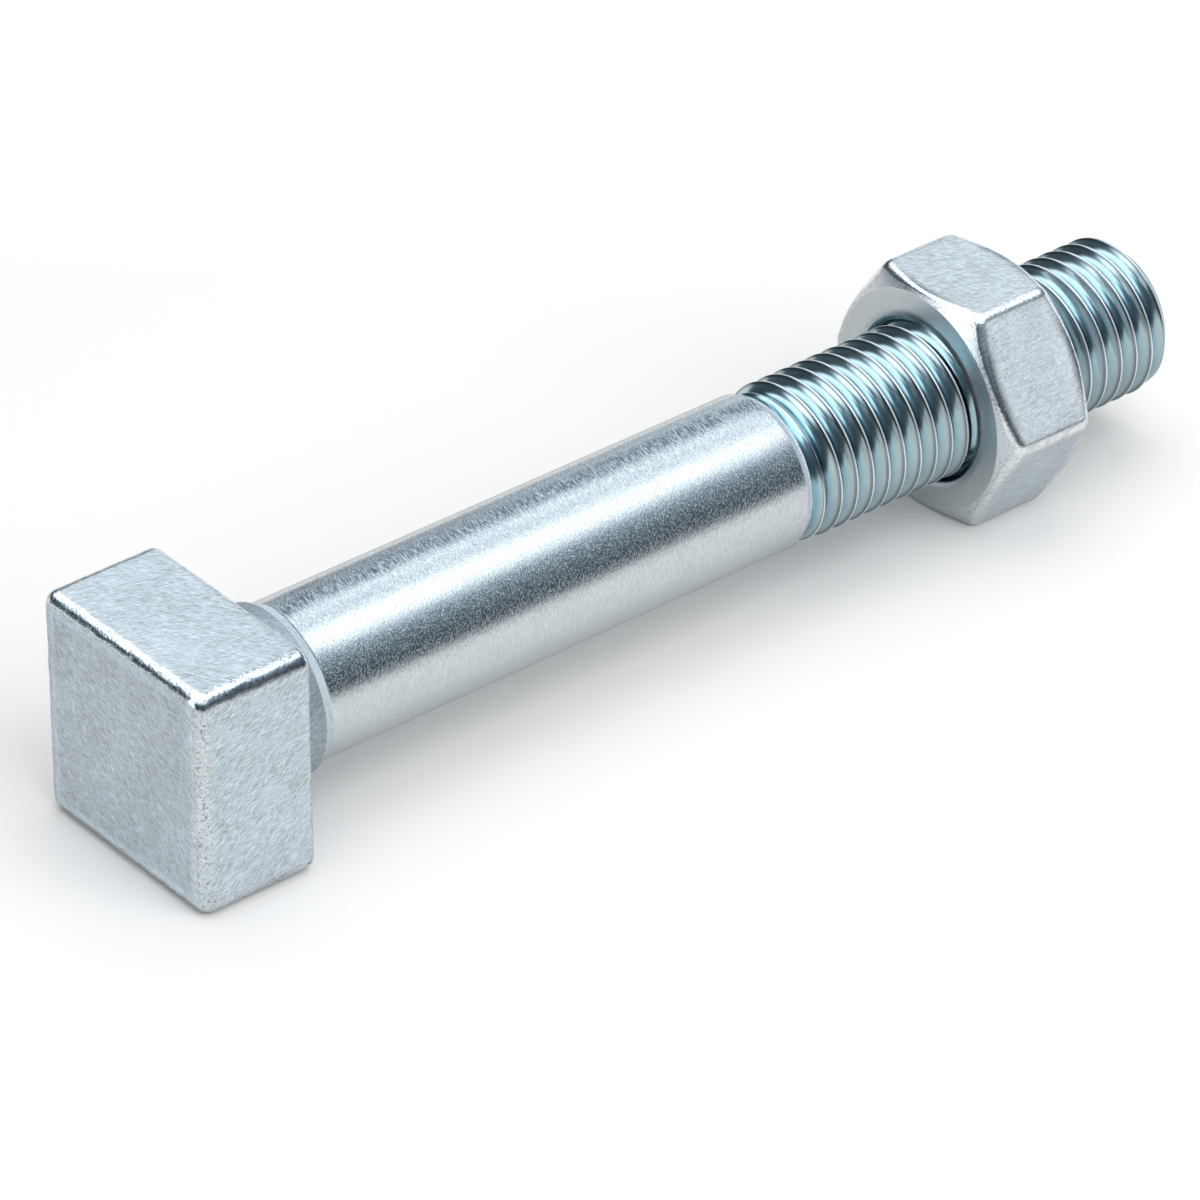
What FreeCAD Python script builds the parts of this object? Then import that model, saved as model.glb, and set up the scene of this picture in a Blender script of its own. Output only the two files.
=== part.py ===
"""Square head bolt with a hex nut on its thread, size M20, as two solids.

The bolt lies along +X. The origin is on its axis, in the plane where the head bears on the work.
The head reaches to -X and the tip to +X. +Z is up, and the flats of head and nut face down.
All lengths are in millimetres and all angles in degrees.
"""
import FreeCAD, Part
import math
import os

# Bolt, lengths measured from the bearing face of the head
bolt_length = 136.5          # to the tip
shank_length = 77.5          # to the edge of the shank's shoulder
shank_diameter = 19.8

# Head and nut take the same spanner
width_across_flats = 30.0

# Square head
head_height = 16.0
head_corner_radius = 1.7     # the four edges that run along the bolt
head_top_radius = 1.3        # the four edges round the end face
bearing_edge_chamfer = 1.0   # the four edges round the bearing face

# Round collar under the head, which still enters a 22 mm hole
collar_rise = 1.0            # radial, above the shank
collar_length = 5.8          # along the bolt, to its cone
collar_cone_length = 1.6     # along the bolt, down to the shank

# Rolled thread, right hand
thread_diameter = 20.0       # over the crests
thread_pitch = 2.5
thread_depth = 1.0           # crest to the bottom of the groove, the fine root left plain
shoulder_angle = 30.0        # cone from the shank down to the rolled blank
runout_length = 2.5          # along the bolt, over which the crests rise to full height
groove_start = 0.85          # along the bolt, from the shoulder's end to the groove's first point
tip_chamfer_depth = 1.8      # radial, below the crests
tip_chamfer_angle = 45.0

# Hex nut
nut_height = 14.0
tip_protrusion = 19.0        # thread that stands out past the nut
nut_face_diameter = 28.5     # flat ring left by the outer chamfers
nut_chamfer_angle = 30.0
nut_mouth_diameter = 21.4    # countersink at each end of the bore
nut_mouth_angle = 60.0       # its wall, from the axis
nut_running_clearance = 0.1  # radial, between the bore and the thread crests

# Proportions of a metric thread, as shares of the pitch
CREST_SHARE = 1 / 8          # width of the crest land
BLANK_SHARE = 0.3248         # crest to the rolled blank, which is the pitch line

NUT_SIDES = 6

# How far a cutter reaches past the surface that it cuts
OVERCUT = 0.1


def tan(angle):
    return math.tan(math.radians(angle))


def revolved(outline):
    """Solid of revolution about X, from the (x, radius) points of half its section."""
    points = [FreeCAD.Vector(x, 0, radius) for x, radius in outline]
    face = Part.Face(Part.makePolygon(points + points[:1]))
    return face.revolve(FreeCAD.Vector(0, 0, 0), FreeCAD.Vector(1, 0, 0), 360)


# Places and radii that follow from the sizes above
crest_radius = thread_diameter / 2
groove_radius = crest_radius - thread_depth
blank_radius = crest_radius - BLANK_SHARE * thread_pitch
shank_radius = shank_diameter / 2
collar_radius = shank_radius + collar_rise
shoulder_end = shank_length + (shank_radius - blank_radius) / tan(shoulder_angle)
full_thread_start = shoulder_end + runout_length
tip_radius = crest_radius - tip_chamfer_depth
tip_chamfer_start = bolt_length - tip_chamfer_depth / tan(tip_chamfer_angle)
nut_position = bolt_length - tip_protrusion - nut_height
nut_corner_reach = width_across_flats / 2 / math.cos(math.pi / NUT_SIDES)


def square_head():
    """Forged square block, rounded along its corners and round its end, eased round the bearing face."""
    width = width_across_flats
    middle = -head_height / 2
    block = Part.makeBox(head_height, width, width, FreeCAD.Vector(-head_height, -width / 2, -width / 2))
    corners = [e for e in block.Edges if e.BoundBox.XMin < middle < e.BoundBox.XMax]
    block = block.makeFillet(head_corner_radius, corners)
    end_edges = [e for e in block.Edges if e.BoundBox.XMax < middle]
    block = block.makeFillet(head_top_radius, end_edges)
    bearing_edges = [e for e in block.Edges if e.BoundBox.XMin > middle]
    return block.makeChamfer(bearing_edge_chamfer, bearing_edges)


def turned_body():
    """Collar, shank, shoulder, and the rod that the thread is rolled into."""
    return revolved([
        (-head_height / 2, 0),
        (-head_height / 2, collar_radius),
        (collar_length, collar_radius),
        (collar_length + collar_cone_length, shank_radius),
        (shank_length, shank_radius),
        (shoulder_end, blank_radius),
        (full_thread_start, crest_radius),
        (tip_chamfer_start, crest_radius),
        (bolt_length, tip_radius),
        (bolt_length, 0),
    ])


def groove_turn():
    """One turn of the groove: a V section swept along a right hand helix about X, from x = 0."""
    helix = Part.makeHelix(thread_pitch, thread_pitch, groove_radius)
    half_width = (1 - CREST_SHARE) * thread_pitch / 2
    height = thread_depth + OVERCUT
    top_half_width = half_width * height / thread_depth
    section = Part.makePolygon([
        FreeCAD.Vector(groove_radius, 0, 0),
        FreeCAD.Vector(groove_radius + height, 0, top_half_width),
        FreeCAD.Vector(groove_radius + height, 0, -top_half_width),
        FreeCAD.Vector(groove_radius, 0, 0),
    ])
    cutter = Part.Wire(helix).makePipeShell([section], True, True)
    cutter.rotate(FreeCAD.Vector(0, 0, 0), FreeCAD.Vector(0, 1, 0), 90)
    return cutter


def thread_groove():
    """The groove from the rolled blank to past the tip, one turn joined to the next."""
    turn = groove_turn()
    turns = []
    for count in range(math.ceil((bolt_length - shoulder_end) / thread_pitch) + 1):
        cutter = turn.copy()
        cutter.translate(FreeCAD.Vector(shoulder_end + groove_start + count * thread_pitch, 0, 0))
        turns.append(cutter)
    return turns[0].fuse(turns[1:])


def square_head_bolt():
    """Head, shank and thread are one forged and rolled piece."""
    return turned_body().cut(thread_groove()).fuse(square_head()).removeSplitter()


def hexagon():
    """Hex prism of the nut, two flats level."""
    points = []
    for corner in range(NUT_SIDES + 1):
        angle = 2 * math.pi * corner / NUT_SIDES
        y, z = nut_corner_reach * math.cos(angle), nut_corner_reach * math.sin(angle)
        points.append(FreeCAD.Vector(nut_position, y, z))
    return Part.Face(Part.makePolygon(points)).extrude(FreeCAD.Vector(nut_height, 0, 0))


def outer_chamfers():
    """Turned blank whose two cones cut the corners of the hex prism back to the face rings."""
    reach = nut_corner_reach + OVERCUT
    face = nut_face_diameter / 2
    depth = (reach - face) * tan(nut_chamfer_angle)
    near = nut_position
    far = nut_position + nut_height
    return revolved([(near, 0), (near, face), (near + depth, reach), (far - depth, reach), (far, face), (far, 0)])


def bore():
    """Plain running bore for the thread crests, countersunk at both ends."""
    radius = crest_radius + nut_running_clearance
    mouth = nut_mouth_diameter / 2
    depth = (mouth - radius) / tan(nut_mouth_angle)
    beyond = OVERCUT / tan(nut_mouth_angle)
    near = nut_position
    far = nut_position + nut_height
    return revolved([
        (near - beyond, 0),
        (near - beyond, mouth + OVERCUT),
        (near + depth, radius),
        (far - depth, radius),
        (far + beyond, mouth + OVERCUT),
        (far + beyond, 0),
    ])


def hex_nut():
    return hexagon().common(outer_chamfers()).cut(bore())


def main():
    os.makedirs("parts", exist_ok=True)
    pieces = {"square_head_bolt": square_head_bolt(), "hex_nut": hex_nut()}
    for name, shape in pieces.items():
        box = shape.BoundBox
        print(name, "valid", shape.isValid(), "solids", len(shape.Solids), "faces", len(shape.Faces),
              "volume", round(shape.Volume, 1), "x", round(box.XMin, 3), round(box.XMax, 3),
              "z", round(box.ZMin, 3), round(box.ZMax, 3))
        shape.exportStep("parts/" + name + ".step")


main()
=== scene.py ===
"""Square head bolt with its hex nut, zinc plated, lying on a pale studio floor.

Lengths in this file are in millimetres unless a name says otherwise, and meshes are made in metres.
The bolt lies along +X with the origin in the plane where its head bears, as in the solids.
"""
import math

import bpy
import mathutils
import numpy as np
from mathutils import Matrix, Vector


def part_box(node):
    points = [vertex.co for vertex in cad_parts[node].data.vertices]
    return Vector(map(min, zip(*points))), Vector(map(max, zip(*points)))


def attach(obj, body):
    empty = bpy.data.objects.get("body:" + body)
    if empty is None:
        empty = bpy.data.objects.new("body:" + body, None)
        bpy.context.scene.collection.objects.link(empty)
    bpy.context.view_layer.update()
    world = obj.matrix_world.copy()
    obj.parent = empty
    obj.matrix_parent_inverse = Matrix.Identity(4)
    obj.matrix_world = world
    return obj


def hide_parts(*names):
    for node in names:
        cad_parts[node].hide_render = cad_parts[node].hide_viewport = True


bl_info = {
    "name": "Square Head Bolt",
    "version": (1, 0, 0),
    "blender": (4, 5, 0),
    "location": "View3D > Sidebar > Bolt",
    "description": "Makes a zinc plated square head bolt with a hex nut, and its studio",
    "category": "Add Mesh",
}

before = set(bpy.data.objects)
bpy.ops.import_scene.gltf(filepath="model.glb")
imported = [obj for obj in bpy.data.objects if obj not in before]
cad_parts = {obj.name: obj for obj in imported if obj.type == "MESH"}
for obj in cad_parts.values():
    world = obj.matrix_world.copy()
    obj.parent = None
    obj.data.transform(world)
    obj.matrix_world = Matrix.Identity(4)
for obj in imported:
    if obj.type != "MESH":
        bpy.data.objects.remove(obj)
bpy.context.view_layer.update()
MM = 0.001

# Places and sizes that the solids give
BOLT_LOW, BOLT_HIGH = (np.array(corner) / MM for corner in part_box("square_head_bolt"))
NUT_LOW, NUT_HIGH = (np.array(corner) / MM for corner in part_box("hex_nut"))
HEAD_HEIGHT = -BOLT_LOW[0]
BOLT_LENGTH = BOLT_HIGH[0]
ACROSS_FLATS = BOLT_HIGH[2] - BOLT_LOW[2]
NUT_NEAR, NUT_FAR = NUT_LOW[0], NUT_HIGH[0]
NUT_ACROSS_FLATS = NUT_HIGH[2] - NUT_LOW[2]
FLOOR_HEIGHT = BOLT_LOW[2]

# Points round each surface, and the zones along it, which have a material each
COLUMNS = 144
ARC_SHARE = 1 / 3            # share of a polygon's columns that lie on its corners' arcs
ANGLES = 2 * math.pi * np.arange(COLUMNS) / COLUMNS
HEAD, SHANK, THREAD, TIP, COLLAR = range(5)
FLATS, FACES, BORE = range(3)

# Shapes of head and nut
SQUARE, HEXAGON = 4, 6
SHARPEST = 0.25              # least corner radius of an inset square
SOFT = 0.3                   # rounding of the small turned edges
FORGED_DEPTH = 0.1           # most that the forged head's surface goes inwards

# Threads
TAN_30 = math.tan(math.radians(30))
FIRST_CREST = 78.96          # a crest's place along the bolt at the side that faces +Y
BLANK_SHARE = 0.3248         # crest to the rolled blank, as a share of the pitch
RUN_OUT_SHARE = 1.1          # length over which the crests rise, as a share of the pitch
NUT_CLEARANCE = 0.12         # radial, between the bolt's crests and the nut's roots

# Light of the floor's own, for the camera, that makes up for the lamps' fall away from the bolt
GLOW_START, GLOW_END = 0.12, 0.5             # in metres from the origin
FLOOR_GLOW = 0.45
FLOOR_SEEN = 1.0
FLOOR_BOUNCE = 0.65
FLOOR_REACH = 3.0                            # in metres

# Painted light and shade on the floor, for the metal alone, from FLOOR_SPAN metres behind the bolt
# to as far in front, as (share, brightness)
FLOOR_SPAN = 0.3
FLOOR_IN_METAL = [(0.0, 1.10), (0.30, 1.0), (0.42, 0.66), (0.53, 0.84), (0.60, 0.87), (0.92, 0.22)]

# Studio seen in the metal, as (sine of the elevation, brightness). The front is dark with a bright
# ceiling, which gives the shank its dark and its white band. Pale walls stand to the right and behind,
# the left is dark up to its own ceiling, and a panel of light stands low on the left.
FRONT_STUDIO = [(0.0, 0.20), (0.13, 0.11), (0.26, 0.12), (0.42, 0.20), (0.56, 0.28), (0.66, 0.45),
                (0.72, 0.95), (0.76, 1.7), (0.80, 2.1)]
WALL_STUDIO = [(0.0, 1.2), (0.16, 1.35), (0.33, 0.45), (0.45, 0.23), (0.58, 0.25), (0.66, 0.45),
               (0.71, 1.15), (0.77, 2.1), (0.81, 1.2), (0.85, 0.50)]
LEFT_STUDIO = [(0.0, 0.14), (0.34, 0.10), (0.44, 0.14), (0.50, 0.5), (0.56, 1.5), (0.62, 2.0)]

# Each part of the studio: its direction, and the cosines between which it fades in
WALL = ((0.79, 0.62, 0.0), 0.36, 0.42)
LEFT = ((-0.60, 0.80, 0.0), 0.28, 0.40)
PANEL = ((-0.93, 0.30, 0.20), 0.93, 0.975)
PANEL_LIGHT = 2.6

# Studio light is blue where it is dim and white where it is bright
DARK_TINT, LIGHT_TINT = "#D0EAFF", "#FBFEFF"
TINT_SLOPE = 0.48
WORLD_FILL = 0.58
WHITE = (1.0, 1.0, 1.0, 1.0)

# Lamps over and in front of the object's middle: name, direction, side and power. Distances in metres
LAMPS = (("key", (0.1, 0.12, 1.0), 0.85, 2.8),
         ("front_fill", (0.03, -0.70, 0.70), 0.8, 4.6))
LAMP_DISTANCE = 0.9
CENTRE = np.array([0.058, 0.0, 0.0])

# The photograph's viewpoint: turn round the object, height, distance in mm and pixels for each mm
VIEW_AZIMUTH, VIEW_ELEVATION = -39.40, 33.45
VIEW_DISTANCE, VIEW_SCALE = 888.28, 8.786
VIEW_RIGHT, VIEW_UP = 41.50, 11.93           # the picture's middle, from the origin, in mm
PICTURE_SIDE, SENSOR = 1200, 36.0

# Turn of the strokes in a face, in radians, by the axis that the face looks along
STROKE_TURNS = {"X": 0.5, "Y": -0.45, "Z": -0.7}


def srgb(code):
    """Linear red, green and blue from a hex colour."""
    parts = [int(code[i:i + 2], 16) / 255 for i in (1, 3, 5)]
    return [p / 12.92 if p <= 0.04045 else ((p + 0.055) / 1.055) ** 2.4 for p in parts]


def length_property(name, description, millimetres):
    return bpy.props.FloatProperty(name=name, description=description, default=millimetres * MM,
                                   min=0.0, unit="LENGTH")


def colour_property(name, description, code):
    return bpy.props.FloatVectorProperty(name=name, description=description, default=srgb(code),
                                         size=3, min=0.0, max=1.0, subtype="COLOR")


class BoltSizes(bpy.types.PropertyGroup):
    shank_diameter: length_property("Shank diameter", "Plain part of the bolt", 19.8)
    thread_diameter: length_property("Thread diameter", "Over the crests", 20.0)
    thread_pitch: length_property("Thread pitch", "Advance in one turn", 2.5)
    thread_depth: length_property("Thread depth", "Crest to root", 1.2)
    shank_length: length_property("Shank length", "Bearing face to the shoulder", 77.5)
    collar_rise: length_property("Collar rise", "Radial, above the shank", 0.8)
    collar_length: length_property("Collar length", "From the head to its cone", 4.9)
    collar_cone: length_property("Collar cone", "Length of its cone down to the shank", 1.5)
    corner_radius: length_property("Corner radius", "Head edges that run along the bolt", 2.1)
    end_radius: length_property("End radius", "Head edges round the end face", 1.7)
    bearing_radius: length_property("Bearing radius", "Head edges round the bearing face", 1.2)
    tip_chamfer: length_property("Tip chamfer", "Radial depth of the chamfer", 1.8)


class NutSizes(bpy.types.PropertyGroup):
    ring_diameter: length_property("Ring diameter", "Flat ring on each side", 28.5)
    mouth_diameter: length_property("Mouth diameter", "Countersink of the bore", 21.6)
    corner_radius: length_property("Corner radius", "Edges between the flats", 1.7)
    chamfer_radius: length_property("Chamfer radius", "Edge between chamfer and flats", 1.8)


class Finishes(bpy.types.PropertyGroup):
    forged_zinc: colour_property("Forged zinc", "Satin zinc on the head", "#CCD8E0")
    # The collar's darker colour is painted shade, that of the head over the collar.
    collar_painted_shade_zinc: colour_property("Collar zinc", "Duller zinc on the collar, behind the head", "#A2AFB8")
    nut_zinc: colour_property("Nut zinc", "Satin zinc on the nut's flats", "#C2CED6")
    shank_zinc: colour_property("Shank zinc", "Brighter zinc on the shank", "#D8E0E4")
    thread_zinc: colour_property("Thread zinc", "Blue passivate in the thread's groove", "#88B1BE")
    # The flank colour is a painted reflection, paler on the flank that faces the head.
    flank_painted_reflection: colour_property("Flank zinc", "Paler plate on the flank near a crest", "#BDD1D7")
    crest_zinc: colour_property("Crest zinc", "Plate rubbed bright on the crests", "#E9EEF0")
    edge_zinc: colour_property("Edge zinc", "Plate rubbed bright on rounded edges", "#D8E0E4")
    floor: colour_property("Floor", "Pale studio floor", "#F3F3F3")


def millimetres(group, name):
    return getattr(group, name) / MM


def smoothstep(value):
    """0 below 0 and 1 above 1, with 3t^2 - 2t^3 between."""
    t = np.clip(value, 0, 1)
    return t * t * (3 - 2 * t)


def rounded(points, radii, steps):
    """Polyline with rounded corners.

    points is (corners, ..., 2). Each inner corner becomes the quadratic Bezier curve from its tangent
    point on one leg to that on the other, at a distance of radius / tan(half the corner's angle). An
    arc takes up at most 0.45 of either leg.
    """
    rows = [points[0]]
    t = np.linspace(0, 1, steps + 1)
    for i, radius in enumerate(radii, 1):
        before, corner, after = points[i - 1], points[i], points[i + 1]
        leg_in, leg_out = before - corner, after - corner
        size_in = np.linalg.norm(leg_in, axis=-1, keepdims=True)
        size_out = np.linalg.norm(leg_out, axis=-1, keepdims=True)
        unit_in, unit_out = leg_in / size_in, leg_out / size_out
        cosine = np.clip((unit_in * unit_out).sum(-1, keepdims=True), -0.9999, 0.9999)
        reach = radius * np.sqrt((1 + cosine) / (1 - cosine))
        reach = np.minimum(reach, 0.45 * np.minimum(size_in, size_out))
        start, end = corner + unit_in * reach, corner + unit_out * reach
        rows += [(1 - s) ** 2 * start + 2 * s * (1 - s) * corner + s ** 2 * end for s in t]
    rows.append(points[-1])
    return np.array(rows)


def divided(points, largest):
    """The same polyline with no step longer than largest, worked out on its longest line of points."""
    rows = [points[0]]
    for before, after in zip(points[:-1], points[1:]):
        longest = np.linalg.norm(after - before, axis=-1).max()
        count = max(1, math.ceil(longest / largest))
        rows += [before + (after - before) * k / count for k in range(1, count + 1)]
    return np.array(rows)


def polygon_ring(sides, apothem, corner_radius):
    """Rounded regular polygon in the (y, z) plane, as COLUMNS points, the first at a flat's middle.

    Each side's points run from one flat's middle to the next, with ARC_SHARE of them on the corner's
    arc: centre + radius * (cos, sin), and the rest spread along the two half flats. apothem and
    corner_radius may be arrays, one for each row.
    """
    apothem, corner_radius = np.atleast_1d(apothem)[:, None], np.atleast_1d(corner_radius)[:, None]
    half_turn = math.pi / sides
    step = np.arange(COLUMNS) * sides / COLUMNS
    side, w = np.floor(step), 2 * (step % 1) - 1
    arc = np.clip(w / ARC_SHARE, -1, 1)
    slide = np.sign(w) * np.clip((np.abs(w) - ARC_SHARE) / (1 - ARC_SHARE), 0, 1)
    corner_angle = (2 * side + 1) * half_turn
    normal_angle = corner_angle + arc * half_turn
    centre_reach = (apothem - corner_radius) / math.cos(half_turn)
    half_flat = (apothem - corner_radius) * math.tan(half_turn)
    y = centre_reach * np.cos(corner_angle) + corner_radius * np.cos(normal_angle)
    z = centre_reach * np.sin(corner_angle) + corner_radius * np.sin(normal_angle)
    along = half_flat * slide
    return np.stack([y - along * np.sin(normal_angle), z + along * np.cos(normal_angle)], -1)


def circle_ring(radius):
    """Circles in the (y, z) plane, one for each radius, as COLUMNS points."""
    radius = np.atleast_1d(radius)[:, None]
    return np.stack([radius * np.cos(ANGLES), radius * np.sin(ANGLES)], -1)


def rings(x, ring):
    """(rows, COLUMNS, 3) points from each row's place along the bolt and its (y, z) ring."""
    x = np.broadcast_to(np.reshape(x, (-1, 1)), ring.shape[:2])
    return np.concatenate([x[..., None], ring], -1)


def square_rings(x, inset, corner_radius):
    """Rings of the head's rounded square, each set in from its sides by a length."""
    square = polygon_ring(SQUARE, ACROSS_FLATS / 2 - inset, np.maximum(corner_radius - inset, SHARPEST))
    return rings(x, square)


def corner_mark(sides, reach):
    """1 on the columns of a polygon's corners, falling to 0 at a share of the way to a flat's middle."""
    w = 2 * ((np.arange(COLUMNS) * sides / COLUMNS) % 1) - 1
    return np.clip(1 - (np.abs(w) / reach) ** 4, 0, 1)


def edge_mark(turn):
    """0 at both ends of a rounded edge and 1 over its middle, down the rows of its quarter turn."""
    return np.clip(2.5 * np.sin(2 * turn)[:, None] ** 2, 0, 1)


def thread_section(crest, root, crest_half_width, pitch):
    """One pitch of a thread: offset from the crest's middle in 0 to pitch, radius, and crest mark.

    The half section is the crest flat, eased at its edge, then the quadratic Bezier curve that leaves it
    along the 30 degree flank and ends level in the root. The other half is its mirror image. A nut's
    thread has the same section as a bolt's that is a little larger. The mark is 1 on the crest and 0 in
    the root. It stays at 0 on the flank that faces the tip and rises to 0.45 on the one that faces the
    head, where the material paints that flank paler, as a painted reflection, and paints a dark line of
    shade along its crest.
    """
    flank = (crest - root) * TAN_30
    t = np.linspace(0, 1, 10)
    start, middle = crest_half_width, crest_half_width + flank
    curve = (1 - t) ** 2 * start + 2 * t * (1 - t) * middle + t ** 2 * pitch / 2
    offset = np.concatenate([[0, 0.6 * crest_half_width], curve])
    radius = np.concatenate([[crest, crest], (1 - t) ** 2 * crest + (1 - (1 - t) ** 2) * root])
    crest_ease = np.array([0.005, 0.03])
    radius[1:3] -= crest_ease
    crest_marks = [1.0, 1.0, 0.75, 0.55]
    to_tip = np.array(crest_marks + 8 * [0.0])
    # On the flank that faces the head this mark paints a paler reflection and a dark line of shade.
    to_head = np.array(crest_marks + [0.45, 0.42, 0.36, 0.28, 0.19, 0.10, 0.04, 0.0])
    offset = np.concatenate([offset, pitch - offset[-2:0:-1]])
    return offset, np.concatenate([radius, radius[-2:0:-1]]), np.concatenate([to_tip, to_head[-2:0:-1]])


def thread_rows(section, pitch, start, end, angles, shape):
    """Thread surface between the planes x = start and x = end, right hand about +X.

    Row and column follow the helix: x = FIRST_CREST + offset + pitch * (turn + angle / full turn), and
    shape(x, radius) gives the radius left there. Points past a plane are moved onto it and share the
    index of the first one there, so the surface ends in one ring. Column COLUMNS is column 0 one turn on.
    Returns the points, the index of each row and column, and the crest mark of each row.
    """
    offset, radius, mark = section
    first_turn = math.floor((start - FIRST_CREST) / pitch) - 2
    turns = math.ceil((end - start) / pitch) + 4
    along = (offset + pitch * (first_turn + np.arange(turns)[:, None])).ravel()
    x = FIRST_CREST + along[:, None] + pitch * angles / (2 * math.pi)
    x = np.clip(x, start, end)
    radius = shape(x, np.tile(radius, turns)[:, None])
    points = np.stack([x, radius * np.cos(angles), radius * np.sin(angles)], -1)
    row = np.arange(len(along))
    last_before = (x <= start).sum(0) - 1
    first_after = len(along) - (x >= end).sum(0)
    owner = np.clip(row[:, None], last_before, first_after)
    index = owner * COLUMNS + np.arange(COLUMNS)
    one_turn_on = np.minimum(row + len(offset), len(along) - 1)
    wrapped = index[one_turn_on, 0]
    return points, np.concatenate([index, wrapped[:, None]], 1), np.tile(mark, turns)[:, None]


class Skin:
    """Surface made of rows of points, each row joined to the next."""

    def __init__(self):
        self.points, self.rows, self.marks, self.size = [], [], [], 0

    def add(self, points, index=None, edge=0.0, *, zone):
        """Add (rows, COLUMNS, 3) points. edge, 0 to 1, marks a rubbed edge, or on a thread also the flank's
        painted reflection and shade, and zone is a material.
        """
        if index is None:
            index = np.arange(points.shape[0] * COLUMNS).reshape(-1, COLUMNS)
            index = np.concatenate([index, index[:, :1]], 1)
        self.rows.append((index + self.size, zone))
        self.points.append(points.reshape(-1, 3))
        self.marks.append(np.broadcast_to(edge, points.shape[:2]).ravel())
        self.size += points.shape[0] * points.shape[1]

    def add_pole(self, x, zone):
        """Add a single point on the axis, which closes the surface."""
        self.rows.append((np.full((1, COLUMNS + 1), self.size), zone))
        self.points.append(np.array([[x, 0, 0]]))
        self.marks.append(np.zeros(1))
        self.size += 1

    def corners_and_zones(self, closed):
        """Two triangles for each cell, without those that have shrunk to nothing, and their zones.

        Between two zones of an open surface a cell takes the lower one. On a closed surface, whose last
        row is joined to its first, it takes that of the row before it.
        """
        index = np.concatenate([rows for rows, _ in self.rows])
        zone = np.concatenate([np.full(len(rows), z) for rows, z in self.rows])
        if closed:
            index = np.concatenate([index, index[:1]])
            row_zone = zone
        else:
            row_zone = np.minimum(zone[:-1], zone[1:])
        a, b, c, d = index[:-1, :-1], index[:-1, 1:], index[1:, 1:], index[1:, :-1]
        corners = np.stack([np.stack([a, b, c], -1), np.stack([a, c, d], -1)], 2).reshape(-1, 3)
        first, second, third = corners.T
        whole = (first != second) & (second != third) & (third != first)
        return corners[whole], np.repeat(row_zone, 2 * COLUMNS)[whole]

    def mesh(self, name, closed=False, change=None):
        """Smooth mesh of the surface, with its marks as the attribute edge."""
        corners, zones = self.corners_and_zones(closed)
        used, corners = np.unique(corners, return_inverse=True)
        corners = corners.reshape(-1, 3)
        points = np.concatenate(self.points)[used]
        marks = np.concatenate(self.marks)[used]
        if change is not None:
            points = change(points, marks)
        mesh = bpy.data.meshes.new(name)
        mesh.from_pydata(points * MM, [], corners)
        mesh.polygons.foreach_set("material_index", zones.astype(np.int32))
        mesh.polygons.foreach_set("use_smooth", np.ones(len(corners), bool))
        edge = mesh.attributes.new("edge", "FLOAT", "POINT")
        edge.data.foreach_set("value", marks.astype(np.float32))
        mesh.update()
        return mesh


def waves(points, size, seed):
    """Smooth uneven field of about -1 to 1: twelve sine waves of the given size in set directions."""
    rng = np.random.default_rng(seed)
    direction = rng.normal(size=(12, 3))
    direction /= np.linalg.norm(direction, axis=1, keepdims=True)
    frequency = 2 * math.pi / (size * rng.uniform(0.7, 1.6, 12))
    phase = rng.uniform(0, 2 * math.pi, 12)
    return np.sin(points @ (direction.T * frequency) + phase).sum(1) / 3.5


def forged(points, marks):
    """Head with slightly uneven faces and edges, as forging leaves them.

    The points in front of the bearing face move towards the head's middle, by a few hundredths on the
    faces and by up to FORGED_DEPTH on the edges.
    """
    faces = 0.02 * waves(points, 14.0, 1)
    edges = 0.035 * waves(points, 2.2, 2) + 0.02 * waves(points, 0.9, 3)
    depth = np.clip(0.03 + faces + marks * edges, 0, FORGED_DEPTH)
    on_head = points[:, 0] < -0.05
    inward = np.array([-HEAD_HEIGHT / 2, 0, 0]) - points
    inward /= np.linalg.norm(inward, axis=1, keepdims=True) + 1e-9
    return points + (on_head * depth)[:, None] * inward


def add_head(skin, sizes):
    """Square head: rows outwards over its end face, round its edge, along the sides and round the next.

    Over a quarter turn, a rounded edge's rows are set in by radius * (1 - sin turn) where it grows and
    by radius * (1 - cos turn) where it shrinks. The end face's last ring is there again as its edge's
    first one, so that the flat face is shaded flat up to it.
    """
    corner = millimetres(sizes, "corner_radius")
    end = millimetres(sizes, "end_radius")
    under = millimetres(sizes, "bearing_radius")
    corners = corner_mark(SQUARE, 0.34)
    turn = np.linspace(0, math.pi / 2, 12)
    sine, cosine = np.sin(turn), np.cos(turn)

    skin.add_pole(-HEAD_HEIGHT, HEAD)
    inset = np.linspace(ACROSS_FLATS / 2 - 1.0, end, 14)
    skin.add(square_rings(-HEAD_HEIGHT, inset, corner), zone=HEAD)
    edge = np.maximum(edge_mark(turn), corners * sine[:, None])
    rows = square_rings(-HEAD_HEIGHT + end * (1 - cosine), end * (1 - sine), corner)
    skin.add(rows, edge=edge, zone=HEAD)
    along = np.linspace(-HEAD_HEIGHT + end, -under, 18)[1:-1]
    skin.add(square_rings(along, 0 * along, corner), edge=corners, zone=HEAD)
    edge = np.maximum(edge_mark(turn), corners * cosine[:, None])
    rows = square_rings(-under + under * sine, under * (1 - cosine), corner)
    skin.add(rows, edge=edge, zone=HEAD)


def add_bearing_face(skin, sizes, inner_radius):
    """Flat bearing face, where the head's square outline turns into a circle of the inner radius."""
    under = millimetres(sizes, "bearing_radius")
    corner = max(millimetres(sizes, "corner_radius") - under, SHARPEST)
    outline = polygon_ring(SQUARE, ACROSS_FLATS / 2 - under, corner)
    share = np.linspace(0, 1, 8)[1:-1, None, None]
    skin.add(rings(0.0, outline * (1 - share) + circle_ring(inner_radius) * share), zone=HEAD)


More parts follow.
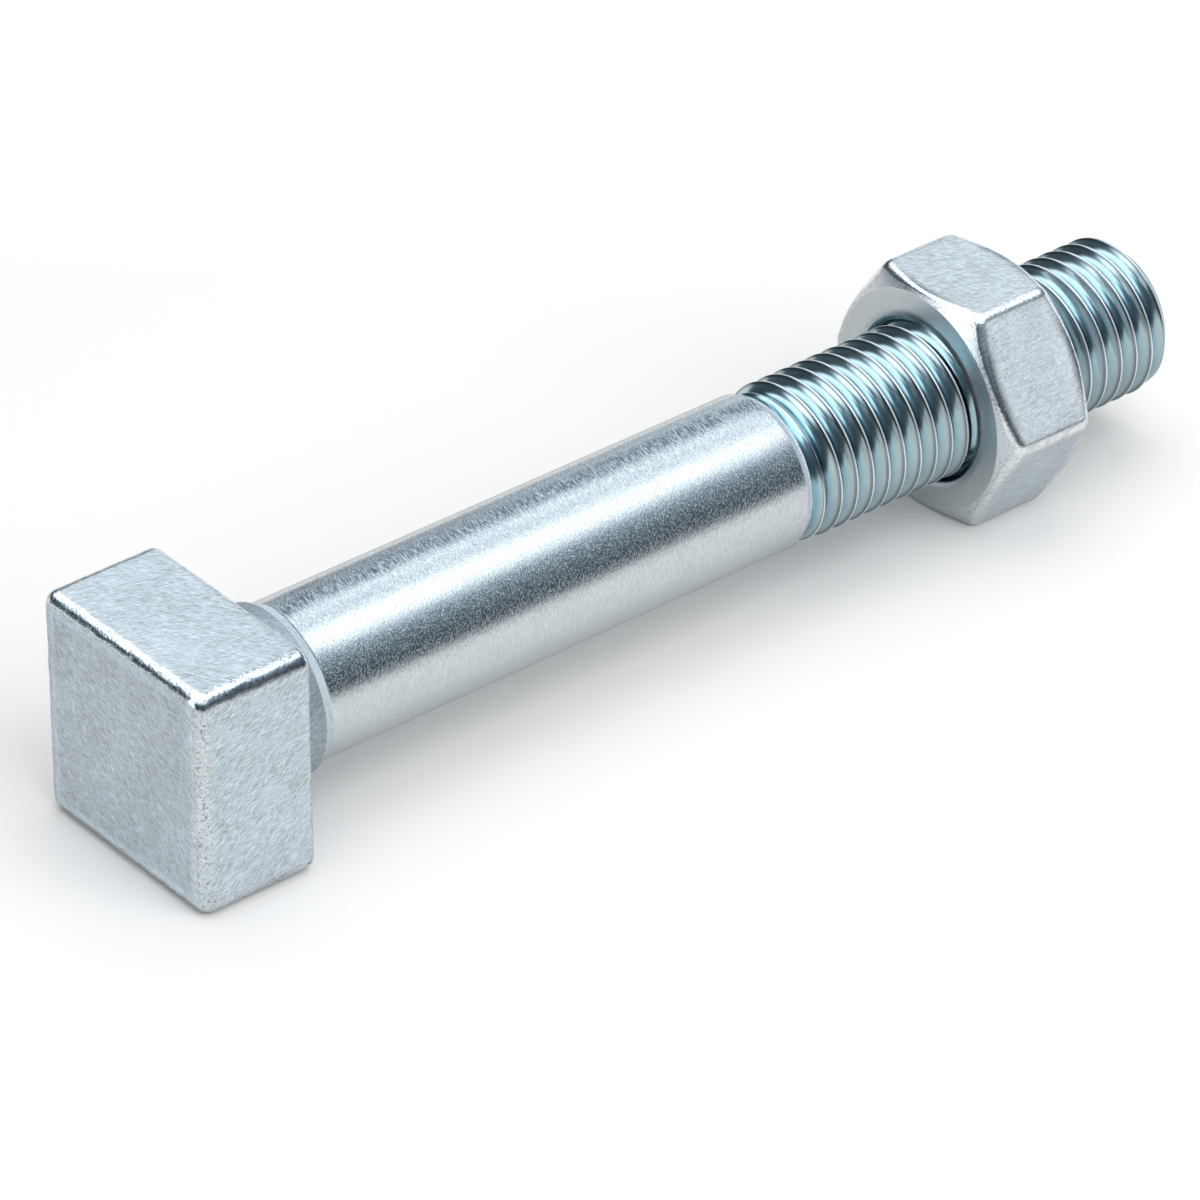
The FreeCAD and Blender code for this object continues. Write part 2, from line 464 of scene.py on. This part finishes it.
def add_turned_part(skin, sizes, blank, shoulder_end):
    """Collar, its cone, the plain shank and the shoulder down to the rolled blank, as turned rings.

    The collar's colour is darker as painted shade from the head over it, the shank is bright, and the
    cone and the shoulder have the head's plate. Each zone starts on the rounded corner between two parts.
    """
    shank = millimetres(sizes, "shank_diameter") / 2
    collar = shank + millimetres(sizes, "collar_rise")
    collar_end = millimetres(sizes, "collar_length")
    cone_end = collar_end + millimetres(sizes, "collar_cone")
    shank_end = millimetres(sizes, "shank_length")
    foot, landing = 0.4, 0.3
    collar_edge, crease, shank_edge = 0.5, 1.0, 0.2
    longest_cell = 4.0
    outline = np.array([(0, collar + foot), (0, collar), (collar_end, collar), (cone_end, shank),
                        (shank_end, shank), (shoulder_end - landing, blank), (shoulder_end, blank)])
    outline = rounded(outline, [SOFT, collar_edge, crease, shank_edge, SOFT], 4)
    outline = divided(outline, longest_cell)
    add_bearing_face(skin, sizes, outline[0, 1])
    zone_starts = [collar_end + 0.1, cone_end - 0.12, shank_end]
    part = np.searchsorted(zone_starts, outline[:, 0], side="right")
    for number, zone in enumerate((COLLAR, HEAD, SHANK, HEAD)):
        x, radius = outline[part == number].T
        skin.add(rings(x, circle_ring(radius)), zone=zone)


def add_rolled_thread(skin, sizes, blank, shoulder_end, tip):
    """Rolled thread from the shoulder to the tip.

    Its crests rise out of the blank over the run-out and are cut by the tip's 45 degree chamfer,
    radius = tip + (BOLT_LENGTH - x). They are rubbed bright once they have risen, as is the tip's edge.
    The same mark gives the flank that faces the head its painted reflection and the dark line of painted
    shade below the crest.
    """
    crest = millimetres(sizes, "thread_diameter") / 2
    root = crest - millimetres(sizes, "thread_depth")
    pitch = millimetres(sizes, "thread_pitch")

    def shape(x, radius):
        rise = smoothstep((x - shoulder_end) / (RUN_OUT_SHARE * pitch))
        return np.minimum(blank + (radius - blank) * rise, tip + (BOLT_LENGTH - x))

    section = thread_section(crest, root, pitch / 20, pitch)
    points, index, mark = thread_rows(section, pitch, shoulder_end, BOLT_LENGTH, ANGLES, shape)
    crest_wear_and_painted_flank = mark * smoothstep((points[..., 0] - shoulder_end) / 2.0)
    tip_edge = smoothstep((points[..., 0] - BOLT_LENGTH + 0.3) / 0.2)
    skin.add(points, index, edge=np.maximum(crest_wear_and_painted_flank, tip_edge), zone=THREAD)


def add_tip_face(skin, tip):
    """Round end face with a flat rim, a slope inwards and a dished middle."""
    rim, slope, dish, middle = 0.4, 1.0, 0.3, 0.6
    face = np.array([(BOLT_LENGTH, tip), (BOLT_LENGTH, tip - rim), (BOLT_LENGTH - 0.25, tip - rim - slope),
                     (BOLT_LENGTH - dish, middle)])
    face = divided(rounded(face, [SOFT, 0.6], 3), 1.2)[1:]
    skin.add(rings(face[:, 0], circle_ring(face[:, 1])), zone=TIP)
    skin.add_pole(face[-1, 0], TIP)


def bolt_skin(sizes):
    """The whole bolt as one surface, from the middle of the head's end face to the middle of the tip.

    Rows run outwards over the end face, round its edge, along the sides, inwards over the bearing
    face, where the square turns into a circle, and then along the turned and threaded part. The
    shoulder is a 30 degree cone from the shank's end down to the rolled blank.
    """
    shank = millimetres(sizes, "shank_diameter") / 2
    crest = millimetres(sizes, "thread_diameter") / 2
    blank = crest - BLANK_SHARE * millimetres(sizes, "thread_pitch")
    shoulder_end = millimetres(sizes, "shank_length") + (shank - blank) / TAN_30
    tip = crest - millimetres(sizes, "tip_chamfer")
    skin = Skin()
    add_head(skin, sizes)
    add_turned_part(skin, sizes, blank, shoulder_end)
    add_rolled_thread(skin, sizes, blank, shoulder_end, tip)
    add_tip_face(skin, tip)
    return skin


def lines_of(*places):
    """(places, COLUMNS, 2) points from pairs of x and radius, each one number or one for each column."""
    column = np.ones(COLUMNS)
    return np.array([np.stack([x * column, radius * column], -1) for x, radius in places])


def swept(lines, direction):
    """Points in space from (x, radius) lines, with the direction from the axis of each column."""
    return np.concatenate([lines[..., :1], lines[..., 1:] * direction], -1)


def add_nut_outside(skin, sizes, distance, direction):
    """Ring, chamfer, flats, chamfer and ring of the nut, from its near mouth to its far one.

    The rows of a flat end where the hexagon's own distance from the axis meets the 30 degree chamfer
    cone, at x = face + (distance - ring radius) * tan 30, which gives each flat its curved ends. Within
    0.4 mm of such an end the plate is rubbed bright, which fades out at 1.1 mm.
    """
    ring = millimetres(sizes, "ring_diameter") / 2
    mouth = millimetres(sizes, "mouth_diameter") / 2
    rounding = millimetres(sizes, "chamfer_radius")
    depth = (distance - ring) * TAN_30
    near_edge, far_edge = NUT_NEAR + depth, NUT_FAR - depth
    outside = lines_of((NUT_NEAR, mouth), (NUT_NEAR, ring), (near_edge, distance),
                       (far_edge, distance), (NUT_FAR, ring), (NUT_FAR, mouth))
    outside = divided(rounded(outside, [SOFT, rounding, rounding, SOFT], 5), 1.3)

    x, radius = outside[..., 0], outside[..., 1]
    from_edge = np.minimum(np.abs(x - near_edge), np.abs(x - far_edge))
    on_flat = (x > NUT_NEAR + 0.5 * depth) & (x < NUT_FAR - 0.5 * depth)
    edge = np.maximum(np.clip(1.6 - from_edge / 0.7, 0, 1), corner_mark(HEXAGON, 0.36) * on_flat)
    edge = edge * (radius > ring + 0.05)

    points = swept(outside, direction)
    flat_rows = np.flatnonzero(on_flat.any(1))
    near, flats, far = np.split(np.arange(len(points)), [flat_rows[0], flat_rows[-1] + 1])
    for rows, zone in ((near, FACES), (flats, FLATS), (far, FACES)):
        skin.add(points[rows], edge=edge[rows], zone=zone)


def add_nut_bore(skin, bolt, sizes, direction):
    """Countersunk mouths and internal thread of the nut, from its far face back to its near one.

    The thread's crests fade out at the mouths: their least radius is 0.35 below the roots at 0.8 past
    the countersink, and grows from there by 0.6 for each millimetre towards the face.
    """
    pitch = millimetres(bolt, "thread_pitch")
    depth = millimetres(bolt, "thread_depth")
    mouth = millimetres(sizes, "mouth_diameter") / 2
    major = millimetres(bolt, "thread_diameter") / 2 + NUT_CLEARANCE
    mouth_slope = 1.6
    lead = (mouth - major) / mouth_slope
    angles = np.unwrap(np.arctan2(direction[:, 1], direction[:, 0]))

    far_mouth = lines_of((NUT_FAR, mouth), (NUT_FAR - 0.001, mouth - 0.001), (NUT_FAR - lead, major))
    far_mouth = rounded(far_mouth, [0.05], 2)[1:]
    skin.add(swept(far_mouth, direction), zone=BORE)

    def shape(x, radius):
        from_face = np.minimum(x - NUT_NEAR, NUT_FAR - x)
        return np.maximum(radius, major - 0.35 + 0.6 * (lead + 0.8 - from_face))

    section = thread_section(major, major - depth, pitch / 16 + 0.08, pitch)
    points, index, _ = thread_rows(section, pitch, NUT_NEAR + lead, NUT_FAR - lead, angles, shape)
    skin.add(points, index[::-1], zone=BORE)
    near_mouth = far_mouth[::-1].copy()
    near_mouth[..., 0] = NUT_NEAR + NUT_FAR - near_mouth[..., 0]
    skin.add(swept(near_mouth, direction), zone=BORE)


def nut_skin(bolt, sizes):
    """The nut as one closed surface, out over the near face, along the flats and back through the bore."""
    outline = polygon_ring(HEXAGON, NUT_ACROSS_FLATS / 2, millimetres(sizes, "corner_radius"))[0]
    outline = np.stack([-outline[:, 1], outline[:, 0]], -1)
    distance = np.linalg.norm(outline, axis=1)
    direction = outline / distance[:, None]
    skin = Skin()
    add_nut_outside(skin, sizes, distance, direction)
    add_nut_bore(skin, bolt, sizes, direction)
    return skin


def add_node(tree, kind, links=None, **settings):
    """Add a node, set its own settings, and set or link the inputs that links names."""
    node = tree.nodes.new(kind)
    for name, value in settings.items():
        setattr(node, name, value)
    for name, value in (links or {}).items():
        if isinstance(value, bpy.types.NodeSocket):
            tree.links.new(value, node.inputs[name])
        else:
            node.inputs[name].default_value = value
    return node


def new_material(name):
    material = bpy.data.materials.new(name)
    material.use_nodes = True
    material.node_tree.nodes.clear()
    return material, material.node_tree


def object_place(tree):
    return add_node(tree, "ShaderNodeTexCoord").outputs["Object"]


def edge_attribute(tree):
    return add_node(tree, "ShaderNodeAttribute", attribute_name="edge").outputs["Fac"]


def remap(tree, value, low, high, new_low=0.0, new_high=1.0):
    return add_node(tree, "ShaderNodeMapRange",
                    {"Value": value, "From Min": low, "From Max": high, "To Min": new_low,
                     "To Max": new_high}).outputs[0]


def combine(tree, operation, first, second):
    return add_node(tree, "ShaderNodeMath", {0: first, 1: second}, operation=operation).outputs[0]


def blend(tree, factor, first, second):
    return add_node(tree, "ShaderNodeMix", {"Factor": factor, 2: first, 3: second}).outputs[0]


def blend_colour(tree, factor, first, second):
    """Mix of two colours, each of them four numbers or another node's colour."""
    return add_node(tree, "ShaderNodeMix", {"Factor": factor, 6: first, 7: second},
                    data_type="RGBA").outputs[2]


def solid(colour):
    return (*colour, 1.0)


def tinted(tree, colour, factor):
    """The colour multiplied by a factor that varies over the surface."""
    grey = add_node(tree, "ShaderNodeCombineColor", {"Red": factor, "Green": factor, "Blue": factor})
    return add_node(tree, "ShaderNodeMix", {"Factor": 1.0, 6: colour, 7: grey.outputs[0]},
                    data_type="RGBA", blend_type="MULTIPLY").outputs[2]


def stretched_noise(tree, place, turn, size, detail, roughness, distortion):
    """Noise whose spots are drawn out to a size in mm along three turned axes."""
    mapping = add_node(tree, "ShaderNodeMapping",
                       {"Vector": place, "Rotation": turn, "Scale": [side * MM for side in size]},
                       vector_type="TEXTURE")
    return add_node(tree, "ShaderNodeTexNoise",
                    {"Vector": mapping.outputs[0], "Scale": 1.0, "Detail": detail,
                     "Roughness": roughness, "Distortion": distortion}).outputs["Fac"]


def strokes(tree, place, length, width, turn):
    """Noise drawn out into short strokes of a length and width in mm, lying along a turned direction."""
    return stretched_noise(tree, place, turn, (length, width, width), 2.0, 0.55, 0.6)


def face_strokes(tree, place, length, width, turn):
    """Strokes that lie in each face, from one noise for each of the three axes a face can look along.

    Each noise counts by the square of the surface's own normal along its axis.
    """
    normal = add_node(tree, "ShaderNodeTexCoord").outputs["Normal"]
    parts = add_node(tree, "ShaderNodeSeparateXYZ", {0: normal})
    sizes = {"X": (width, length, width), "Y": (length, width, width), "Z": (length, width, width)}
    total = None
    for axis, size in sizes.items():
        turns = [STROKE_TURNS[axis] + turn if other == axis else 0.0 for other in "XYZ"]
        noise = stretched_noise(tree, place, turns, size, 2.0, 0.5, 1.0)
        weight = combine(tree, "POWER", combine(tree, "ABSOLUTE", parts.outputs[axis], 0.0), 2.0)
        part = combine(tree, "MULTIPLY", noise, weight)
        total = part if total is None else combine(tree, "ADD", total, part)
    return total


def spots(tree, place, size, detail=2.0):
    """Even noise with spots of a size in mm."""
    return add_node(tree, "ShaderNodeTexNoise",
                    {"Vector": place, "Scale": 1 / (size * MM), "Detail": detail}).outputs["Fac"]


def metal(tree, colour, roughness, height, distance, metallic):
    """Principled metal with the colour, roughness and bump height that the nodes before it give."""
    relief = add_node(tree, "ShaderNodeBump", {"Height": height, "Distance": distance * MM})
    shader = add_node(tree, "ShaderNodeBsdfPrincipled",
                      {"Base Color": colour, "Roughness": roughness, "Metallic": metallic,
                       "Normal": relief.outputs[0]})
    add_node(tree, "ShaderNodeOutputMaterial", {"Surface": shader.outputs[0]})


def forged_zinc(name, colour, bright, metallic, pit_shade):
    """Dull zinc plate on a forged and tumbled face: pale, matt, with fine crossed scratches.

    The crystalline plate scatters light, so a face is the same pale grey from any side: part of it is
    shaded as a matt surface. Rounded edges are rubbed bright by handling and show small dark nicks.
    The scratches, 0.17 mm wide, are about as fine as the picture shows, and real ones are finer.
    """
    material, tree = new_material(name)
    place, edge = object_place(tree), edge_attribute(tree)
    scratches = combine(tree, "ADD", face_strokes(tree, place, 1.3, 0.17, 0.35),
                        face_strokes(tree, place, 1.1, 0.16, -0.4))
    cloud = spots(tree, place, 6.0, 3.0)
    nicks = spots(tree, place, 0.4)
    shade = combine(tree, "ADD", remap(tree, scratches, 0.6, 1.4, 0.46, 1.49),
                    remap(tree, cloud, 0.3, 0.7, -0.06, 0.06))
    pits = blend(tree, edge, 1.0, remap(tree, nicks, 0.34, 0.44, pit_shade, 1.0))
    rough = blend(tree, edge, remap(tree, cloud, 0.3, 0.7, 0.40, 0.50), 0.11)
    dents = combine(tree, "MULTIPLY", edge, combine(tree, "SUBTRACT", nicks, 0.5))
    height = combine(tree, "ADD", scratches, combine(tree, "MULTIPLY", dents, 1.6))
    plate = blend_colour(tree, edge, solid(colour), solid(bright))
    metal(tree, tinted(tree, plate, combine(tree, "MULTIPLY", shade, pits)), rough, height, 0.017,
          remap(tree, edge, 0.0, 1.0, metallic, 1.0))
    return material


def faced_zinc(name, colour):
    """Zinc plate on a turned face or chamfer: smoother, so that it mirrors the thread beside it softly.

    It has small nicks, darker along the edges.
    """
    material, tree = new_material(name)
    place, edge = object_place(tree), edge_attribute(tree)
    grain = strokes(tree, place, 1.2, 0.3, (0.5, 0.7, 0.9))
    nicks = spots(tree, place, 0.4)
    pits = blend(tree, edge, remap(tree, nicks, 0.28, 0.36, 0.85, 1.0),
                 remap(tree, nicks, 0.34, 0.46, 0.5, 1.0))
    shade = combine(tree, "MULTIPLY", remap(tree, grain, 0.3, 0.7, 0.93, 1.04), pits)
    rough = remap(tree, spots(tree, place, 5.0, 3.0), 0.3, 0.7, 0.28, 0.36)
    metal(tree, tinted(tree, solid(colour), shade), rough, combine(tree, "ADD", grain, nicks), 0.02, 0.9)
    return material


def shank_zinc(name, colour):
    """Bright zinc plate on a drawn shank: glossy, with fine hair lines across it.

    The lines break up the borders of the studio's bands. They are drawn 0.16 mm wide, which is about
    the finest that the picture shows.
    """
    material, tree = new_material(name)
    place = object_place(tree)
    hairs = combine(tree, "ADD", face_strokes(tree, place, 2.2, 0.18, 1.8),
                    face_strokes(tree, place, 1.8, 0.16, 2.4))
    flecks = remap(tree, face_strokes(tree, place, 1.8, 0.15, 2.1), 0.53, 0.64, 0.0, 0.8)
    shade = remap(tree, hairs, 0.7, 1.3, 0.84, 1.10)
    rough = remap(tree, spots(tree, place, 9.0, 3.0), 0.3, 0.7, 0.07, 0.11)
    metal(tree, tinted(tree, solid(colour), shade), rough, combine(tree, "ADD", hairs, flecks), 0.017, 1.0)
    return material


def rolled_zinc(name, groove, flank, bright, roughness):
    """Zinc plate on a rolled or cut thread: smooth and blue-green in the groove, pale on the crest.

    Up the flank that faces the head its colour is painted paler, as a painted reflection, up to a dark
    line of painted shade just below the crest. flank is the colour of that painted reflection.
    """
    material, tree = new_material(name)
    place, edge = object_place(tree), edge_attribute(tree)
    fine = strokes(tree, place, 0.3, 1.6, (0.0, 0.0, 0.0))
    cloud = spots(tree, place, 4.0, 3.0)
    shade = combine(tree, "MULTIPLY", remap(tree, cloud, 0.3, 0.7, 0.90, 1.05),
                    remap(tree, fine, 0.3, 0.7, 0.95, 1.02))
    crest = remap(tree, edge, 0.7, 0.9)
    rough = blend(tree, crest, remap(tree, cloud, 0.3, 0.7, roughness * 0.8, roughness * 1.25), 0.3)
    height = combine(tree, "ADD", cloud, combine(tree, "MULTIPLY", fine, 0.15))
    # Painted reflection: the flank that faces the head is coloured paler towards its crest.
    side = blend_colour(tree, remap(tree, edge, 0.0, 0.45), solid(groove), solid(flank))
    # Painted shade: a dark line just below the crest on that flank.
    painted_shade_line = remap(tree, edge, 0.45, 0.6, 1.0, 0.45)
    plate = blend_colour(tree, crest, tinted(tree, side, painted_shade_line), solid(bright))
    metal(tree, tinted(tree, plate, shade), rough, height, 0.025, remap(tree, crest, 0.0, 1.0, 1.0, 0.6))
    return material


def add_piece(mesh, materials, body, node):
    piece = bpy.data.objects.new(mesh.name, mesh)
    bpy.context.scene.collection.objects.link(piece)
    for material in materials:
        mesh.materials.append(material)
    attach(piece, body)
    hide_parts(node)


class BOLT_OT_make_bolt(bpy.types.Operator):
    """Make the bolt: forged square head, plain shank and rolled thread"""

    bl_idname = "bolt.make_bolt"
    bl_label = "Make bolt"

    def execute(self, context):
        scene = context.scene
        zinc = scene.bolt_finishes
        mesh = bolt_skin(scene.bolt_sizes).mesh("bolt", change=forged)
        materials = [
            forged_zinc("Satin zinc on the forged head", zinc.forged_zinc, zinc.edge_zinc, 0.45, 0.5),
            shank_zinc("Bright zinc on the shank", zinc.shank_zinc),
            # The thread's flank colour is a painted reflection, and its dark line below the crest is
            # painted shade.
            rolled_zinc("Burnished zinc on the rolled thread", zinc.thread_zinc, zinc.flank_painted_reflection,
                        zinc.crest_zinc, 0.15),
            faced_zinc("Satin zinc on the tip", zinc.forged_zinc),
            # The collar's darker colour is painted shade from the head.
            forged_zinc("Zinc on the collar, darkened as painted shade", zinc.collar_painted_shade_zinc, zinc.edge_zinc, 0.6, 0.5),
        ]
        add_piece(mesh, materials, "bolt", "square_head_bolt")
        return {"FINISHED"}


class BOLT_OT_make_nut(bpy.types.Operator):
    """Make the hex nut, double chamfered, with its internal thread"""

    bl_idname = "bolt.make_nut"
    bl_label = "Make nut"

    def execute(self, context):
        scene = context.scene
        zinc = scene.bolt_finishes
        mesh = nut_skin(scene.bolt_sizes, scene.nut_sizes).mesh("nut", closed=True)
        materials = [
            forged_zinc("Satin zinc on the nut's flats", zinc.nut_zinc, zinc.crest_zinc, 0.12, 0.8),
            faced_zinc("Turned zinc on the nut's faces", zinc.shank_zinc),
            rolled_zinc("Burnished zinc on the cut thread", zinc.thread_zinc, zinc.thread_zinc,
                        zinc.flank_painted_reflection, 0.25),
        ]
        add_piece(mesh, materials, "nut", "hex_nut")
        return {"FINISHED"}


def brightness_ramp(tree, value, stops):
    """Brightness that goes from stop to stop, each a (place, level), as the value runs from 0 to 1."""
    ramp = add_node(tree, "ShaderNodeValToRGB", {"Fac": value})
    elements = ramp.color_ramp.elements
    while len(elements) < len(stops):
        elements.new(0.5)
    top = max(level for _, level in stops)
    for element, (place, level) in zip(elements, stops):
        element.position = place
        element.color = (level / top,) * 3 + (1.0,)
    return combine(tree, "MULTIPLY", ramp.outputs["Color"], top)


def floor_material(colour):
    """Matt white floor that shows white in the camera and keeps the bolt's shadow.

    In the metal it shows painted light and shade: bright behind the bolt, and in front pale close to it
    and darker further off, as under a lamp. Its own faint glow, for the camera alone, grows with the
    distance from the bolt and makes up for the lamps, which light the floor less there.
    """
    material, tree = new_material("Matt white floor")
    place = object_place(tree)
    parts = add_node(tree, "ShaderNodeSeparateXYZ", {0: place})
    ahead = combine(tree, "MULTIPLY", parts.outputs["Y"], -1.0)
    # Painted light and shade on the floor, which only glossy rays see.
    in_metal = brightness_ramp(tree, remap(tree, ahead, -FLOOR_SPAN, FLOOR_SPAN), FLOOR_IN_METAL)
    path = add_node(tree, "ShaderNodeLightPath")
    level = blend(tree, path.outputs["Is Glossy Ray"], FLOOR_SEEN, in_metal)
    level = blend(tree, path.outputs["Is Diffuse Ray"], level, FLOOR_BOUNCE)
    matt = add_node(tree, "ShaderNodeBsdfDiffuse", {"Color": tinted(tree, solid(colour), level)})
    away = add_node(tree, "ShaderNodeVectorMath", {0: place}, operation="LENGTH").outputs["Value"]
    light = remap(tree, away, GLOW_START, GLOW_END, 0.0, FLOOR_GLOW)
    glow = add_node(tree, "ShaderNodeEmission",
                    {"Strength": combine(tree, "MULTIPLY", path.outputs["Is Camera Ray"], light)})
    both = add_node(tree, "ShaderNodeAddShader", {0: matt.outputs[0], 1: glow.outputs[0]})
    add_node(tree, "ShaderNodeOutputMaterial", {"Surface": both.outputs[0]})
    return material


def make_floor(colour):
    """Wide level floor that the head and the nut lie on."""
    reach, z = FLOOR_REACH, FLOOR_HEIGHT * MM
    mesh = bpy.data.meshes.new("studio_floor")
    corners = [(-reach, -reach, z), (reach, -reach, z), (reach, reach, z), (-reach, reach, z)]
    mesh.from_pydata(corners, [], [(0, 1, 2, 3)])
    mesh.materials.append(floor_material(colour))
    floor = bpy.data.objects.new("studio_floor", mesh)
    bpy.context.scene.collection.objects.link(floor)


def towards(tree, direction, aim, start, end):
    """0 to 1 as the cosine of the angle between two directions goes from start to end."""
    dot = add_node(tree, "ShaderNodeVectorMath", {0: direction, 1: aim}, operation="DOT_PRODUCT")
    return remap(tree, dot.outputs["Value"], start, end)


def studio_level(tree, direction):
    """Brightness of the studio that the metal mirrors, by direction."""
    up = add_node(tree, "ShaderNodeSeparateXYZ", {0: direction}).outputs["Z"]
    front = brightness_ramp(tree, up, FRONT_STUDIO)
    level = blend(tree, towards(tree, direction, *WALL), front, brightness_ramp(tree, up, WALL_STUDIO))
    level = blend(tree, towards(tree, direction, *LEFT), level, brightness_ramp(tree, up, LEFT_STUDIO))
    return blend(tree, towards(tree, direction, *PANEL), level, PANEL_LIGHT)


def make_world():
    """Even pale light for the matt surfaces, white for the camera, and for the metal the studio."""
    world = bpy.data.worlds.new("studio")
    bpy.context.scene.world = world
    world.use_nodes = True
    tree = world.node_tree
    tree.nodes.clear()
    direction = add_node(tree, "ShaderNodeTexCoord").outputs["Generated"]
    level = studio_level(tree, direction)
    path = add_node(tree, "ShaderNodeLightPath")
    glossy = path.outputs["Is Glossy Ray"]
    strength = blend(tree, path.outputs["Is Camera Ray"], blend(tree, glossy, WORLD_FILL, level), 1.0)
    brightness = combine(tree, "MULTIPLY", level, TINT_SLOPE)
    tint = blend_colour(tree, brightness, solid(srgb(DARK_TINT)), solid(srgb(LIGHT_TINT)))
    tint = blend_colour(tree, glossy, WHITE, tint)
    background = add_node(tree, "ShaderNodeBackground", {"Color": tint, "Strength": strength})
    add_node(tree, "ShaderNodeOutputWorld", {"Surface": background.outputs[0]})


def turned_towards(direction):
    """Rotation that turns an object's +Z along a direction and keeps it upright."""
    return mathutils.Vector(direction).to_track_quat("Z", "Y").to_euler()


def make_lamp(name, direction, side, power):
    """Square area lamp aimed at the object's middle, not seen in the metal."""
    lamp = bpy.data.lights.new(name, "AREA")
    lamp.shape = "SQUARE"
    lamp.size = side
    lamp.energy = power
    holder = bpy.data.objects.new(name, lamp)
    bpy.context.scene.collection.objects.link(holder)
    away = np.array(direction, float) / np.linalg.norm(direction)
    holder.location = CENTRE + away * LAMP_DISTANCE
    holder.rotation_euler = turned_towards(away)
    holder.visible_glossy = False


def make_camera():
    """Long lens at the photograph's viewpoint. Lens = sensor * scale * distance / picture side."""
    azimuth, elevation = math.radians(VIEW_AZIMUTH), math.radians(VIEW_ELEVATION)
    back = np.array([math.sin(azimuth) * math.cos(elevation), -math.cos(azimuth) * math.cos(elevation),
                     math.sin(elevation)])
    right = np.array([math.cos(azimuth), math.sin(azimuth), 0.0])
    up = np.cross(back, right)
    data = bpy.data.cameras.new("camera")
    data.sensor_width = SENSOR
    data.lens = SENSOR * VIEW_SCALE * VIEW_DISTANCE / PICTURE_SIDE
    data.clip_end = 10.0
    camera = bpy.data.objects.new("camera", data)
    bpy.context.scene.collection.objects.link(camera)
    camera.location = (right * VIEW_RIGHT + up * VIEW_UP + back * VIEW_DISTANCE) * MM
    camera.rotation_euler = turned_towards(back)
    bpy.context.scene.camera = camera


class BOLT_OT_make_stage(bpy.types.Operator):
    """Make the floor, the soft light and the camera"""

    bl_idname = "bolt.make_stage"
    bl_label = "Make stage"

    def execute(self, context):
        make_floor(context.scene.bolt_finishes.floor)
        make_world()
        for lamp in LAMPS:
            make_lamp(*lamp)
        make_camera()
        context.scene.view_settings.view_transform = "Standard"
        return {"FINISHED"}


class BOLT_PT_panel(bpy.types.Panel):
    """Sizes, colours and steps of the bolt"""

    bl_label = "Square head bolt"
    bl_idname = "BOLT_PT_panel"
    bl_space_type = "VIEW_3D"
    bl_region_type = "UI"
    bl_category = "Bolt"

    def draw(self, context):
        layout = self.layout
        for group in (context.scene.bolt_sizes, context.scene.nut_sizes, context.scene.bolt_finishes):
            box = layout.box()
            for name in group.__annotations__:
                box.prop(group, name)
        for step in STEPS:
            layout.operator(step.bl_idname)


STEPS = (BOLT_OT_make_bolt, BOLT_OT_make_nut, BOLT_OT_make_stage)
GROUPS = {"bolt_sizes": BoltSizes, "nut_sizes": NutSizes, "bolt_finishes": Finishes}


def register():
    for group in GROUPS.values():
        bpy.utils.register_class(group)
    for name, group in GROUPS.items():
        setattr(bpy.types.Scene, name, bpy.props.PointerProperty(type=group))
    for step in (*STEPS, BOLT_PT_panel):
        bpy.utils.register_class(step)


def unregister():
    for step in (BOLT_PT_panel, *reversed(STEPS)):
        bpy.utils.unregister_class(step)
    for name in GROUPS:
        delattr(bpy.types.Scene, name)
    for group in GROUPS.values():
        bpy.utils.unregister_class(group)


def main():
    register()
    bpy.ops.bolt.make_bolt()
    bpy.ops.bolt.make_nut()
    bpy.ops.bolt.make_stage()


if __name__ == "__main__":
    main()
